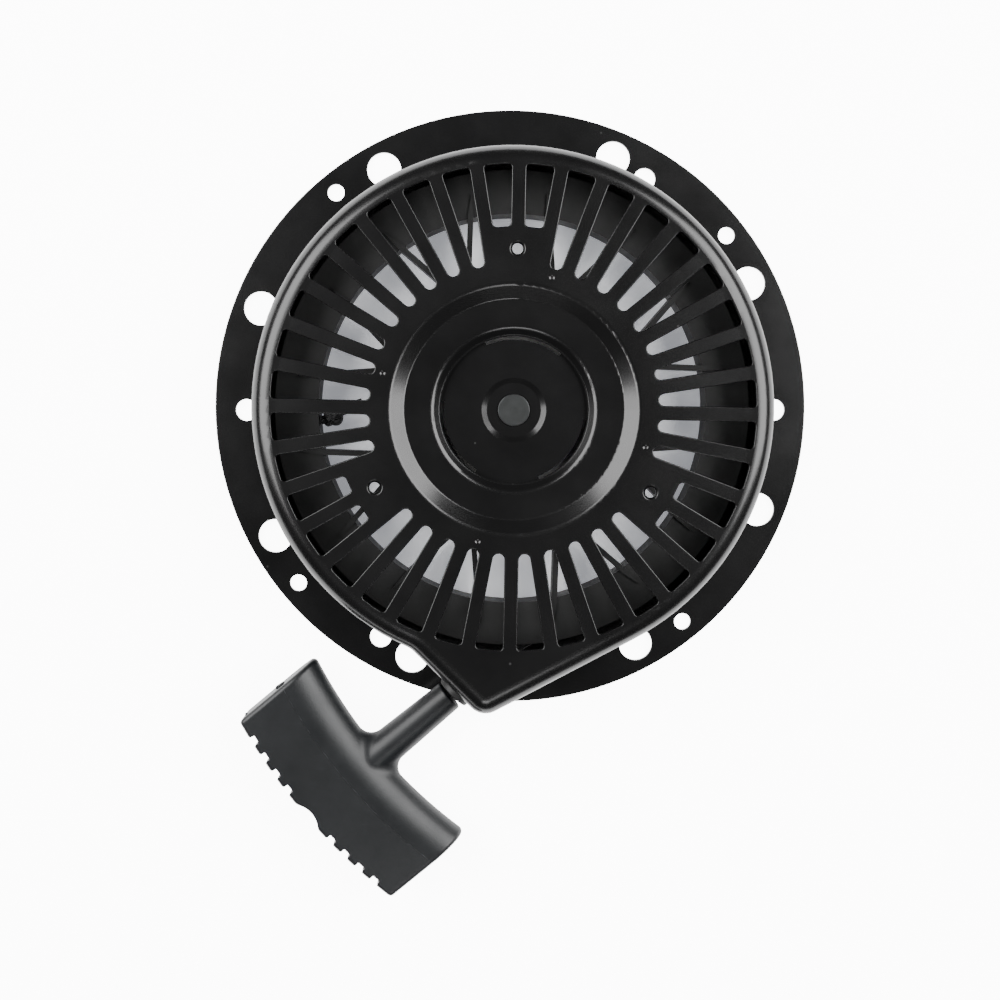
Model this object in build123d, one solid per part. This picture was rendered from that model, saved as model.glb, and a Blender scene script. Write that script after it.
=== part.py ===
from build123d import *
import math
import os

# Recoil starter for a small engine, in millimetres. The origin is on the crank axis, on the
# engine side of the mounting flange. +Z points out of the engine, towards the operator.
# Azimuths are in degrees, counter-clockwise from +X as seen from +Z.

# Housing: one stamped sheet, a flange with a cup on it
SHEET = 1.9
FLANGE_R = 139.7
CUP_R = 117.8
CUP_TOP = 43.0
SHOULDER_R = 9.0
FOOT_R = 0.6
RIM_R = 0.4

# Rope outlet: a bulge of the cup that ends in a flat face
OUTLET_AZ = 225.0
OUTLET_DIST = 109.6
TANGENT_AZ = 297.5
OUTLET_CORNER_R = 9.5
OUTLET_ROOT_R = 11.5
OUTLET_ALONG = 74.5
ROPE_Z = 13.0

# Crown and the two steps down to the hub, as radius and height of the outer surface
CROWN_FOOT_R = 106.0
CROWN_R, CROWN_Z = 56.0, 44.0
SEAM_R = 58.0
STEP_FOOT_R, STEP_Z = 49.5, 40.0
HUB_STEP_R, HUB_OPENING_R, HUB_Z = 37.1, 33.0, 37.5
STEP_BEND_R = 2.6

# Air slots between parallel-sided bars
SLOT_COUNT = 36
SLOT_OUTER_R = 108.2
SLOT_INNER_R = 64.5
SHORT_SLOT_R = 80.8
SLOT_CORNER_R = 1.7
SLOT_TIP_R = 2.6
SLOT_EDGE_R = 0.4
BAR_HALF = 3.2
PIERCED_AZ, PIERCED_R, PIERCED_D, PIERCED_DISH_D = 88.9, 71.1, 4.8, 6.7
DIMPLE_AZ, DIMPLE_R, DIMPLE_BALL, DIMPLE_DEPTH = 74.3, 60.6, 2.2, 0.5

# Flange holes: diameter, pitch radius, azimuths
SMALL_HOLES = (7.9, 130.5, [39, 129, 219, 309])
MEDIUM_HOLES = (10.2, 125.0, [0, 60, 180, 240])
LARGE_HOLES = (15.8, 127.0, [28, 68, 118, 158, 208, 248, 298, 338])

# Hub plate, welded under the edge of the hub opening by three tabs
PLATE_T = 2.4
PLATE_R, PLATE_TAB_R = 31.5, 36.0
PLATE_TABS = [(264, 52), (21.5, 57), (142.5, 59)]
CUP_LIP_R, CUP_FLOOR_R, CUP_DEPTH = 14.5, 12.2, 1.5

# Centre leg that the pulley turns on, with its pin and washers
LEG_R, ARBOR_R, SPIGOT_R = 9.5, 11.5, 7.2
LEG_BOTTOM, LEG_SHOULDER, SPIGOT_PROUD = 3.2, 16.3, 0.8
PIN_R, PIN_HEAD_R, PIN_BOTTOM, PIN_TOP = 3.0, 8.5, 0.6, 26.0
PIN_HEAD_T = 1.3
WASHER_T, WASHER_R = 1.3, 12.5
SPRING_SLOT = 1.6
RUN_FIT = 0.06
GAP = 0.3

# Pulley
HUB_R, CAVITY_R, COVER_R = 54.0, 50.0, 52.0
WEB_BOTTOM, WEB_TOP = 13.0, 16.0
BOSS_R, BOSS_BOTTOM, BOSS_TOP = 13.8, 10.3, 14.7
COVER_Z, COVER_T, COVER_HOLE_R = 28.0, 0.8, 12.3
RIM_IN_R, GROOVE_R, RIM_OUT_R = 89.2, 91.7, 109.0
RIM_BOTTOM, RIM_TOP, RIM_WALL = 5.0, 21.0, 1.6
STRUT_V_COUNT, STRUT_AZ, STRUT_SPREAD = 8, 23.5, 11.0
STRUT_T, STRUT_BOTTOM, STRUT_TOP, STRUT_END_R = 2.5, 9.0, 22.4, 100.0
STRUT_SINK = 1.5

# Rope
ROPE_D = 4.0
ROPE_HOLE_R, ROPE_HOLE_REACH = 2.2, 12.0
WOUND_R, WOUND_HALF = 95.9, 5.9
LEAD_R = 93.9
LEAD_SHORT = 29.0
KNOT_R = 5.0
KNOT_AZ, KNOT_TAIL_AZ, KNOT_TAIL_R = 183.0, 176.5, 69.0

# Rewind spring: a strip wound in half circles
STRIP_T, STRIP_W, STRIP_Z = 0.6, 11.0, 16.6
STRIP_IN_R, STRIP_OUT_R, STRIP_HALF_TURNS = 12.2, 49.7, 28
INNER_TAB, OUTER_TAB, OUTER_TAB_SHIFT = 3.4, 2.4, 0.7
HOOK_DEPTH, HOOK_WIDTH = 4.0, 2.2

# Starter dogs and the retainer whose slots drive them outwards
DOG_PIVOT_R, DOG_PIVOT_PIN_R, DOG_EYE_R = 24.0, 2.9, 7.4
DOG_BOTTOM, DOG_TOP = 5.9, 12.6
DOG_NOSE = [(-5.2, -12.5, 2.2), (-2.6, -19.0, 1.0), (1.5, -19.0, 1.0)]
DOG_SWING, RETAINER_TURN = 25.0, 35.0
STUD_X, STUD_Y, STUD_R = -4.0, -12.0, 1.5
RETAINER_Z, RETAINER_T, RETAINER_R = 3.5, 2.0, 20.0
RETAINER_EAR = 3.0
STUD_PLAY = 0.5
COIL_R, COIL_WIRE, COIL_PITCH, COIL_HEIGHT, COIL_Z = 4.4, 0.8, 1.0, 2.4, 10.2
COIL_RECESS_R, COIL_RECESS_Z = 5.5, 9.5
BRAKE_R, BRAKE_WIRE, BRAKE_PITCH, BRAKE_HEIGHT, BRAKE_Z = 11.4, 1.1, 1.45, 3.3, 6.1

# Eyelet and guide bush, as distance out from the outlet face
EYELET_BORE_R, EYELET_NECK_R, EYELET_FLARE_R, EYELET_INNER_R = 3.6, 6.0, 10.0, 7.8
EYELET_OUT, EYELET_IN = 1.8, 1.2
BUSH_BORE_R, BUSH_R, BUSH_END, BUSH_EDGE_R = 3.2, 8.2, 4.6, 0.6

# Handle, measured outwards from the end of its stem along the line of pull
PULL_AZ, STEM_START = 219.7, 6.1
STEM_END_R, STEM_ROOT_R, STEM_BLEND_R, STEM_END_EDGE_R = 7.3, 9.0, 7.0, 1.0
GRIP_FRONT, GRIP_PARTING, GRIP_BACK = 42.8, 61.0, 86.8
GRIP_LENGTH, GRIP_BOW = 109.3, 6.4
GRIP_HALF, GRIP_BACK_HALF, PARTING_STEP = 12.0, 11.0, 0.25
GRIP_EDGE_R, GRIP_END_R = 2.4, 2.3
RIB_PITCH, FIRST_RIB, NOTCH_W, NOTCH_DEPTH, NOTCH_BASE_R = 9.35, 11.0, 4.1, 3.1, 0.4
VALLEY_R, VALLEY_DEPTH, VALLEY_LIP_R = 12.0, 3.4, 5.0
RIB_TIP_R, GRIP_CORNER_R, GRIP_TRIM = 1.5, 2.6, 0.3
ROPE_BORE_R, RECESS_R, RECESS_START = 2.6, 7.4, 66.0
INSERT_T = 2.0


def polar(radius, azimuth):
    """The point at a radius and azimuth in the flange plane."""
    angle = math.radians(azimuth)
    return Vector(radius * math.cos(angle), radius * math.sin(angle), 0)


def turned(points):
    """A solid turned about Z from a closed outline of (radius, height) points."""
    outline = Polyline(*[(radius, 0, height) for radius, height in points], close=True)
    return revolve(make_face(outline), Axis.Z)


def ring(inner, outer, low, high):
    """A flat ring about Z between two heights."""
    return Pos(0, 0, low) * extrude(Circle(outer) - Circle(inner), high - low)


def disc(radius, low, high):
    """A round plate or plug about Z between two heights."""
    return Pos(0, 0, low) * extrude(Circle(radius), high - low)


def around(azimuths, shape):
    """Copies of a shape, turned about Z to each azimuth."""
    return [Rot(Z=azimuth) * shape for azimuth in azimuths]


# The outlet eyelet's centre, and the places of the eyelet and of the handle's stem end
EYELET = polar(OUTLET_DIST, OUTLET_AZ) + polar(OUTLET_ALONG, OUTLET_AZ + 90)
OUTLET_PLACE = Pos(EYELET.X, EYELET.Y, ROPE_Z) * Rot(Z=OUTLET_AZ) * Rot(Y=90)
STEM_END = EYELET + polar(STEM_START, PULL_AZ)
HANDLE_PLACE = Pos(STEM_END.X, STEM_END.Y, ROPE_Z) * Rot(Z=PULL_AZ)


def cup_outline():
    """The cup's outer outline: a circle, a tangent line and the flat outlet face."""
    touch = polar(CUP_R, TANGENT_AZ)
    turn = math.radians(TANGENT_AZ - OUTLET_AZ)
    along = (CUP_R - OUTLET_DIST * math.cos(turn)) / math.sin(turn)
    corner = polar(OUTLET_DIST, OUTLET_AZ) + polar(along, OUTLET_AZ + 90)
    root_along = math.sqrt(CUP_R**2 - OUTLET_DIST**2)
    root = polar(OUTLET_DIST, OUTLET_AZ) + polar(root_along, OUTLET_AZ + 90)
    outline = Circle(CUP_R) + make_face(Polyline((0, 0), touch, corner, root, close=True))
    nearest = outline.vertices().sort_by(lambda v: (Vector(v) - corner).length)[0]
    outline = fillet(nearest, OUTLET_CORNER_R)
    nearest = outline.vertices().sort_by(lambda v: (Vector(v) - root).length)[0]
    return fillet(nearest, OUTLET_ROOT_R)


def crown(drop):
    """The low cone on the cup's flat top, lowered by drop for the inner surface."""
    flat, peak = CUP_TOP - drop, CROWN_Z - drop
    below = flat - 1
    return turned([(0, below), (CROWN_FOOT_R, below), (CROWN_FOOT_R, flat), (CROWN_R, peak), (0, peak)])


def cup_body(outline, drop, bend):
    """The cup as a full block with a rounded shoulder, to its outer or inner surface."""
    block = extrude(outline, CUP_TOP - drop)
    block = fillet(block.faces().sort_by(Axis.Z)[-1].edges(), bend)
    return block + crown(drop)


def slot(inner_radius, inner_corner):
    """One air slot along +X, bounded by lines parallel to the bars beside it."""
    half_pitch = math.pi / SLOT_COUNT

    def half_width(x):
        return x * math.tan(half_pitch) - BAR_HALF / math.cos(half_pitch)

    inner, outer = half_width(inner_radius), half_width(SLOT_OUTER_R)
    far = math.sqrt(SLOT_OUTER_R**2 - outer**2)
    sides = Polyline((far, -outer), (inner_radius, -inner), (inner_radius, inner), (far, outer))
    outline = make_face(sides + ThreePointArc((far, outer), (SLOT_OUTER_R, 0), (far, -outer)))
    outline = fillet(outline.vertices().sort_by(Axis.X)[:2], inner_corner)
    outline = fillet(outline.vertices().sort_by(Axis.X)[-2:], SLOT_CORNER_R)
    return Pos(0, 0, CUP_TOP - 2 * SHEET) * extrude(outline, 3 * SHEET)


def air_slots():
    """Every slot: short ones on either side of the three pierced holes, long ones elsewhere."""
    long_slot, short_slot = slot(SLOT_INNER_R, SLOT_TIP_R), slot(SHORT_SLOT_R, SLOT_CORNER_R)
    pitch = 360 / SLOT_COUNT
    per_hole = SLOT_COUNT // 3
    azimuths = [PIERCED_AZ + pitch / 2 + pitch * step for step in range(SLOT_COUNT)]
    short = [az for step, az in enumerate(azimuths) if step % per_hole in (0, per_hole - 1)]
    long = [az for az in azimuths if az not in short]
    return around(long, long_slot) + around(short, short_slot)


def hub_steps():
    """The ring of sheet that steps down from the crown to the hub opening."""
    slope = (CROWN_Z - CUP_TOP) / (CROWN_FOOT_R - CROWN_R)
    mid = SHEET / 2
    line = FilletPolyline(
        (SEAM_R, CROWN_Z - slope * (SEAM_R - CROWN_R) - mid),
        (CROWN_R, CROWN_Z - mid),
        (STEP_FOOT_R, STEP_Z - mid),
        (HUB_STEP_R, STEP_Z - mid),
        (HUB_OPENING_R + 1, HUB_Z - mid),
        (HUB_OPENING_R, HUB_Z - mid),
        radius=[STEP_BEND_R, STEP_BEND_R, STEP_BEND_R, STEP_BEND_R / 2],
    )
    return revolve(Plane.XZ * trace(line, SHEET), Axis.Z)


def flange_holes():
    """Plugs for all the holes through the flange."""
    plugs = []
    for diameter, radius, azimuths in (SMALL_HOLES, MEDIUM_HOLES, LARGE_HOLES):
        plug = Pos(radius, 0, 0) * disc(diameter / 2, -SHEET, 2 * SHEET)
        plugs += around(azimuths, plug)
    return plugs


def pierced_holes():
    """Three dished holes and four dimples on the crown, as cutters."""
    flare = (PIERCED_DISH_D - PIERCED_D) / 2
    top = CUP_TOP + flare + (CROWN_Z - CUP_TOP) * (CROWN_FOOT_R - PIERCED_R) / (CROWN_FOOT_R - CROWN_R)
    dish = Pos(0, 0, top - flare) * Cone(PIERCED_D / 2, PIERCED_DISH_D / 2 + flare, 2 * flare)
    plug = Pos(PIERCED_R, 0, 0) * (disc(PIERCED_D / 2, CUP_TOP - 2 * SHEET, CROWN_Z + 1) + dish)
    ball = Pos(DIMPLE_R, 0, CROWN_Z + DIMPLE_BALL - DIMPLE_DEPTH) * Sphere(DIMPLE_BALL)
    holes = around([PIERCED_AZ + 120 * step for step in range(3)], plug)
    return holes + around([DIMPLE_AZ + 90 * step for step in range(4)], ball)


def housing():
    """Flange and cup in one sheet, with the outlet bulge, air slots and holes."""
    outline = cup_outline()
    body = disc(FLANGE_R, 0, SHEET) + cup_body(outline, 0, SHOULDER_R)
    foot = [e for e in body.edges() if abs(e.center().Z - SHEET) < 0.01 and e.length > 1]
    body = fillet([e for e in foot if not on_rim(e)], FOOT_R)
    body = fillet([e for e in body.edges() if on_rim(e)], RIM_R)
    inner = cup_body(offset(outline, amount=-SHEET), SHEET, SHOULDER_R - SHEET)
    shell = body - inner - disc(SEAM_R, 0, CROWN_Z + 1)
    shell = shell - air_slots() - pierced_holes() - flange_holes()
    shell = fillet([e for e in shell.edges() if on_slot_rim(e)], SLOT_EDGE_R)
    hole = OUTLET_PLACE * Cylinder(EYELET_NECK_R, 6 * SHEET)
    return shell + hub_steps() - hole


def on_rim(edge):
    """Whether an edge lies on the flange's outer rim."""
    return Vector(edge @ 0.3).length > FLANGE_R - 0.1


def on_slot_rim(edge):
    """Whether an edge borders an air slot on the outer surface."""
    middle = edge @ 0.5
    radius = math.hypot(middle.X, middle.Y)
    return middle.Z > CUP_TOP - 0.1 and SLOT_INNER_R - 1 < radius < SLOT_OUTER_R + 0.2


def hub_plate():
    """The disc inside the hub opening, with its welded tabs and its cupped centre."""
    top = HUB_Z - SHEET
    plate = disc(PLATE_R, top - PLATE_T, top)
    for middle, width in PLATE_TABS:
        left, right = polar(2 * PLATE_R, middle - width / 2), polar(2 * PLATE_R, middle + width / 2)
        wedge = make_face(Polyline((0, 0), left, right, close=True))
        tab = extrude(wedge & Circle(PLATE_TAB_R), PLATE_T)
        plate = plate + Pos(0, 0, top - PLATE_T) * tab
    floor = top - CUP_DEPTH
    cup = turned([(0, floor), (CUP_FLOOR_R, floor), (CUP_LIP_R, top), (CUP_LIP_R, top + 1), (0, top + 1)])
    boss = disc(CUP_FLOOR_R + PLATE_T, floor - PLATE_T, top - PLATE_T)
    return plate + boss - cup - disc(SPIGOT_R, 0, CROWN_Z)


LEG_TOP = HUB_Z - SHEET - CUP_DEPTH - PLATE_T


def centre_leg():
    """The steel post under the hub plate: bearing below, spring arbor above, riveted top."""
    spigot_top = LEG_TOP + PLATE_T + SPIGOT_PROUD
    post = disc(LEG_R, LEG_BOTTOM, LEG_SHOULDER) + disc(ARBOR_R, LEG_SHOULDER, LEG_TOP)
    spigot = disc(SPIGOT_R, LEG_TOP, spigot_top)
    spigot = fillet(spigot.edges().sort_by(Axis.Z)[-1], SPIGOT_PROUD / 2)
    depth = ARBOR_R - SPIGOT_R - 1
    slit = Pos(ARBOR_R, 0, STRIP_Z + STRIP_W / 2) * Box(2 * depth, SPRING_SLOT, STRIP_W + 1)
    return post + spigot - slit - disc(PIN_R, 0, PIN_TOP)


def centre_pin():
    """The headed pin pressed up into the leg, which keeps the washer and retainer on."""
    head = disc(PIN_HEAD_R, PIN_BOTTOM, PIN_BOTTOM + PIN_HEAD_T)
    head = fillet(head.edges().sort_by(Axis.Z)[0], PIN_HEAD_T / 2)
    return head + disc(PIN_R, PIN_BOTTOM + PIN_HEAD_T, PIN_TOP)


def lower_washer():
    """The washer between the pin's head and the leg, on which the retainer rides."""
    return ring(PIN_R, WASHER_R, LEG_BOTTOM - WASHER_T, LEG_BOTTOM)


def thrust_washer():
    """The washer between the pulley's boss and the leg's shoulder."""
    return ring(LEG_R, WASHER_R, LEG_SHOULDER - WASHER_T, LEG_SHOULDER)


def rope_eyelet():
    """The polished eyelet clinched in the outlet face, turned about its own axis."""
    back = -SHEET - EYELET_IN
    lip = fillet(disc(EYELET_FLARE_R, 0, EYELET_OUT).edges().sort_by(Axis.Z)[-1], EYELET_OUT * 0.6)
    body = lip + disc(EYELET_NECK_R, -SHEET, 0) + disc(EYELET_INNER_R, back, -SHEET)
    body = body - disc(EYELET_BORE_R, back - 1, EYELET_OUT + 1)
    bore = [e for e in body.edges() if abs(e.length - 2 * math.pi * EYELET_BORE_R) < 0.01]
    return OUTLET_PLACE * fillet(bore, EYELET_IN)


def rope_guide_bush():
    """The black bush outside the eyelet, on which the handle's stem comes to rest."""
    body = ring(BUSH_BORE_R, BUSH_R, EYELET_OUT, BUSH_END)
    return OUTLET_PLACE * fillet(body.edges().sort_by(Axis.Z)[-2:], BUSH_EDGE_R)


def strut(side):
    """One thin strut of a V, from the hub to the rim and tapering out over the rim's top."""
    start, knee = polar(HUB_R - 2, 0), polar(RIM_IN_R, side * STRUT_SPREAD)
    heading = (knee - start).normalized()
    side_step = heading.rotate(Axis.Z, 90) * (STRUT_T / 2)
    end = knee + heading * STRUT_SINK
    corners = [start + side_step, end + side_step, end - side_step, start - side_step]
    web = make_face(Polyline(*corners, close=True))
    reach = knee + heading * (STRUT_END_R - RIM_IN_R)
    rib = make_face(Polyline(end + side_step, reach, end - side_step, close=True))
    upright = Pos(0, 0, STRUT_BOTTOM) * extrude(web, STRUT_TOP - STRUT_BOTTOM)
    rib_bottom = RIM_TOP - STRUT_SINK / 2
    return upright + Pos(0, 0, rib_bottom) * extrude(rib, STRUT_TOP - rib_bottom)


def pulley():
    """Hub with the spring cavity, grooved rim and sixteen struts, in one moulding."""
    hub = turned([
        (LEG_R + RUN_FIT, BOSS_BOTTOM), (BOSS_R, BOSS_BOTTOM), (BOSS_R, WEB_BOTTOM),
        (HUB_R, WEB_BOTTOM), (HUB_R, COVER_Z + COVER_T), (COVER_R, COVER_Z + COVER_T),
        (COVER_R, COVER_Z), (CAVITY_R, COVER_Z), (CAVITY_R, WEB_TOP), (BOSS_R, WEB_TOP),
        (BOSS_R, BOSS_TOP), (LEG_R + RUN_FIT, BOSS_TOP),
    ])
    rim = turned([
        (RIM_IN_R, RIM_BOTTOM), (RIM_OUT_R, RIM_BOTTOM), (RIM_OUT_R, RIM_BOTTOM + RIM_WALL),
        (GROOVE_R, RIM_BOTTOM + RIM_WALL), (GROOVE_R, RIM_TOP - RIM_WALL),
        (RIM_OUT_R, RIM_TOP - RIM_WALL), (RIM_OUT_R, RIM_TOP), (RIM_IN_R, RIM_TOP),
    ])
    azimuths = [STRUT_AZ + 360 / STRUT_V_COUNT * step for step in range(STRUT_V_COUNT)]
    struts = around(azimuths, strut(1)) + around(azimuths, strut(-1))
    cavity = disc(CAVITY_R, WEB_TOP, COVER_Z) + disc(COVER_R, COVER_Z, COVER_Z + 1)
    post = Pos(DOG_PIVOT_R, 0, 0) * disc(DOG_PIVOT_PIN_R, DOG_BOTTOM, WEB_BOTTOM)
    rope_hole = Rot(Z=KNOT_AZ) * Pos(RIM_IN_R, 0, ROPE_Z) * Rot(Y=90) * Cylinder(ROPE_HOLE_R, ROPE_HOLE_REACH)
    hook = Pos(CAVITY_R, 0, (WEB_TOP + COVER_Z) / 2) * Box(HOOK_DEPTH, HOOK_WIDTH, COVER_Z - WEB_TOP)
    body = hub + rim + struts - cavity + around([0, 180], post)
    return body + ring(LEG_R + RUN_FIT, BOSS_R, BOSS_BOTTOM, BOSS_TOP) - rope_hole - hook


def rewind_spring():
    """The flat spring: a strip of half-circle arcs, hooked to the arbor and to the pulley."""
    step = (STRIP_OUT_R - STRIP_T - STRIP_IN_R) / STRIP_HALF_TURNS

    def side(start_radius):
        """One side of the strip; odd half circles run below the X axis."""
        arcs = []
        for index in range(STRIP_HALF_TURNS):
            sign = 1 if index % 2 == 0 else -1
            near = start_radius + step * index
            far = near + step
            middle = sign * (near - far) / 2
            arcs.append(ThreePointArc((sign * near, 0), (middle, sign * (near + far) / 2), (-sign * far, 0)))
        return arcs

    inner, outer = side(STRIP_IN_R), side(STRIP_IN_R + STRIP_T)
    ends = [Line(inner[0] @ 0, outer[0] @ 0), Line(inner[-1] @ 1, outer[-1] @ 1)]
    strip = make_face(Curve() + inner + outer + ends)
    tail_x = STRIP_OUT_R - STRIP_T / 2
    inner_tab = Pos(STRIP_IN_R - 1, 0, 0) * Rectangle(INNER_TAB, STRIP_T)
    outer_tab = Pos(tail_x + OUTER_TAB_SHIFT, 0, 0) * Rectangle(OUTER_TAB, STRIP_T)
    return Pos(0, 0, STRIP_Z) * extrude(strip + inner_tab + outer_tab, STRIP_W)


def spring_cover():
    """The thin keeper disc over the rewind spring."""
    return ring(COVER_HOLE_R, COVER_R, COVER_Z, COVER_Z + COVER_T)


def rope_wound():
    """The rope's turns in the groove, as one ring of their outer shape."""
    body = ring(GROOVE_R, WOUND_R, ROPE_Z - WOUND_HALF, ROPE_Z + WOUND_HALF)
    outer = [e for e in body.edges() if abs(e.length - 2 * math.pi * WOUND_R) < 0.01]
    return fillet(outer, ROPE_D / 2 - 0.1)


def rope_lead():
    """The rope from near the groove, through the eyelet, to the handle's stem."""
    reach = math.sqrt(EYELET.X**2 + EYELET.Y**2 - LEAD_R**2)
    to_centre = math.degrees(math.atan2(-EYELET.Y, -EYELET.X))
    heading = to_centre - math.degrees(math.atan2(LEAD_R, reach))
    near = EYELET + polar(reach - LEAD_SHORT, heading)
    far = EYELET + polar(BUSH_END, PULL_AZ)
    path = FilletPolyline(near, EYELET, far, radius=5 * ROPE_D)
    section = Plane(origin=path @ 0, z_dir=path % 0) * Circle(ROPE_D / 2)
    return Pos(0, 0, ROPE_Z) * sweep(section, path)


def rope_knot_pulley():
    """The knot that holds the rope inside the rim, with its tail and the stub in the hole."""
    seat_r = RIM_IN_R - KNOT_R - GAP
    middle, tail_end = polar(seat_r, KNOT_AZ), polar(KNOT_TAIL_R, KNOT_TAIL_AZ)
    half_round = CenterArc((0, 0), KNOT_R, 0, 180)
    knot = revolve(make_face(Curve() + half_round + Line(half_round @ 1, half_round @ 0)), Axis.X)
    stub = Rot(Y=90) * disc(ROPE_D / 2, 0, GROOVE_R - seat_r - GAP)
    heading = (tail_end - middle).normalized()
    tail = Plane(origin=middle, z_dir=heading) * extrude(Circle(ROPE_D / 2), (tail_end - middle).length)
    return Pos(0, 0, ROPE_Z) * (Pos(middle.X, middle.Y, 0) * Rot(Z=KNOT_AZ) * (knot + stub) + tail)


def dog_outline():
    """A dog's outline about its pivot: a round eye and an arm to a blunt nose."""
    circles = [Circle(DOG_EYE_R).edge()]
    circles += [(Pos(x, y) * Circle(radius)).edge() for x, y, radius in DOG_NOSE]
    return make_hull(circles)


def starter_dog():
    """A dog at its pivot on +X, with the recess for its coil and its drive stud."""
    arm = Pos(0, 0, DOG_BOTTOM) * extrude(dog_outline(), DOG_TOP - DOG_BOTTOM)
    bore = disc(DOG_PIVOT_PIN_R + RUN_FIT, 0, WEB_TOP)
    recess = disc(COIL_RECESS_R, COIL_RECESS_Z, DOG_TOP)
    stud = Pos(STUD_X, STUD_Y, 0) * disc(STUD_R, RETAINER_Z + GAP, DOG_BOTTOM)
    return Pos(DOG_PIVOT_R, 0, 0) * (arm + stud - bore - recess)


def stud_point(share):
    """Where the drive stud stands on the retainer at a share of the retainer's turn."""
    stud = Vector(STUD_X, STUD_Y, 0).rotate(Axis.Z, DOG_SWING * share)
    return (Vector(DOG_PIVOT_R, 0, 0) + stud).rotate(Axis.Z, -RETAINER_TURN * share)


def retainer():
    """The plate with two ears, whose slots push the dogs' studs outwards as it lags."""
    path = ThreePointArc(stud_point(0), stud_point(0.5), stud_point(1))
    slot_width = 2 * (STUD_R + STUD_PLAY)
    ear = SlotArc(path, slot_width + 2 * RETAINER_EAR)
    cut = SlotArc(path, slot_width)
    plate = Circle(RETAINER_R) + around([0, 180], ear) - around([0, 180], cut)
    plate = plate - Circle(LEG_R + RUN_FIT)
    return Pos(0, 0, RETAINER_Z) * extrude(plate, RETAINER_T)


def coil(radius, wire, pitch, height):
    """A round-wire coil spring about Z, standing on its first turn."""
    helix = Helix(pitch, height, radius)
    section = Plane(origin=helix @ 0, z_dir=helix % 0) * Circle(wire / 2)
    return sweep(section, helix, is_frenet=True)


def dog_springs():
    """The two return coils around the dogs' pivot posts."""
    body = Pos(DOG_PIVOT_R, 0, COIL_Z) * coil(COIL_R, COIL_WIRE, COIL_PITCH, COIL_HEIGHT)
    return Compound(children=around([0, 180], body))


def brake_spring():
    """The coil between the retainer and the pulley's boss that makes the retainer lag."""
    return Pos(0, 0, BRAKE_Z) * coil(BRAKE_R, BRAKE_WIRE, BRAKE_PITCH, BRAKE_HEIGHT)


def grip_section():
    """The grip's section across its length: half round in front, tapering to a flat back."""
    oval = Pos(GRIP_PARTING, 0) * Ellipse(GRIP_PARTING - GRIP_FRONT, GRIP_HALF)
    front = oval & Pos(GRIP_PARTING - 2 * GRIP_HALF, 0) * Rectangle(4 * GRIP_HALF, 4 * GRIP_HALF)
    edge_z = GRIP_HALF - PARTING_STEP
    back = make_face(Polyline(
        (GRIP_PARTING - 1, -edge_z), (GRIP_PARTING, -edge_z), (GRIP_BACK, -GRIP_BACK_HALF),
        (GRIP_BACK, GRIP_BACK_HALF), (GRIP_PARTING, edge_z), (GRIP_PARTING - 1, edge_z), close=True,
    ))
    section = front + back
    return fillet(section.vertices().sort_by(Axis.X)[-2:], GRIP_EDGE_R)


def grip_plan(bow_x):
    """The grip seen from above: a bowed back with square notches between its ribs."""
    reach = GRIP_BACK - bow_x
    block = Pos(GRIP_PARTING, 0) * Rectangle(2 * GRIP_PARTING, GRIP_LENGTH - GRIP_TRIM)
    plan = block & Pos(bow_x, 0) * Circle(reach)
    plan = fillet([v for v in plan.vertices() if v.X > GRIP_PARTING], GRIP_CORNER_R)
    step = math.degrees(RIB_PITCH / reach)
    first = math.degrees((FIRST_RIB + RIB_PITCH / 2) / reach)
    notch = Pos(reach, 0) * Rectangle(2 * NOTCH_DEPTH, NOTCH_W)
    for turn in [side * (first + step * index) for index in range(4) for side in (1, -1)]:
        plan = plan - Pos(bow_x, 0) * Rot(Z=turn) * notch
    plan = plan - Pos(GRIP_BACK + VALLEY_R - VALLEY_DEPTH, 0) * Circle(VALLEY_R)
    lips = [v for v in plan.vertices() if GRIP_PARTING < v.X and abs(v.Y) < FIRST_RIB]
    plan = fillet(lips, VALLEY_LIP_R)

    def ribs(near, far):
        """The corners of the ribs between two distances in from the bowed back."""
        inset = [(reach - math.hypot(v.X - bow_x, v.Y), v) for v in plan.vertices()]
        inner = [(depth, v) for depth, v in inset if FIRST_RIB < abs(v.Y) < GRIP_LENGTH / 2 - GRIP_CORNER_R]
        return [v for depth, v in inner if near < depth < far]

    plan = fillet(ribs(-RIB_TIP_R / 2, RIB_TIP_R / 2), RIB_TIP_R)
    return fillet(ribs(NOTCH_DEPTH - NOTCH_BASE_R, NOTCH_DEPTH + NOTCH_BASE_R), NOTCH_BASE_R)


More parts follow.
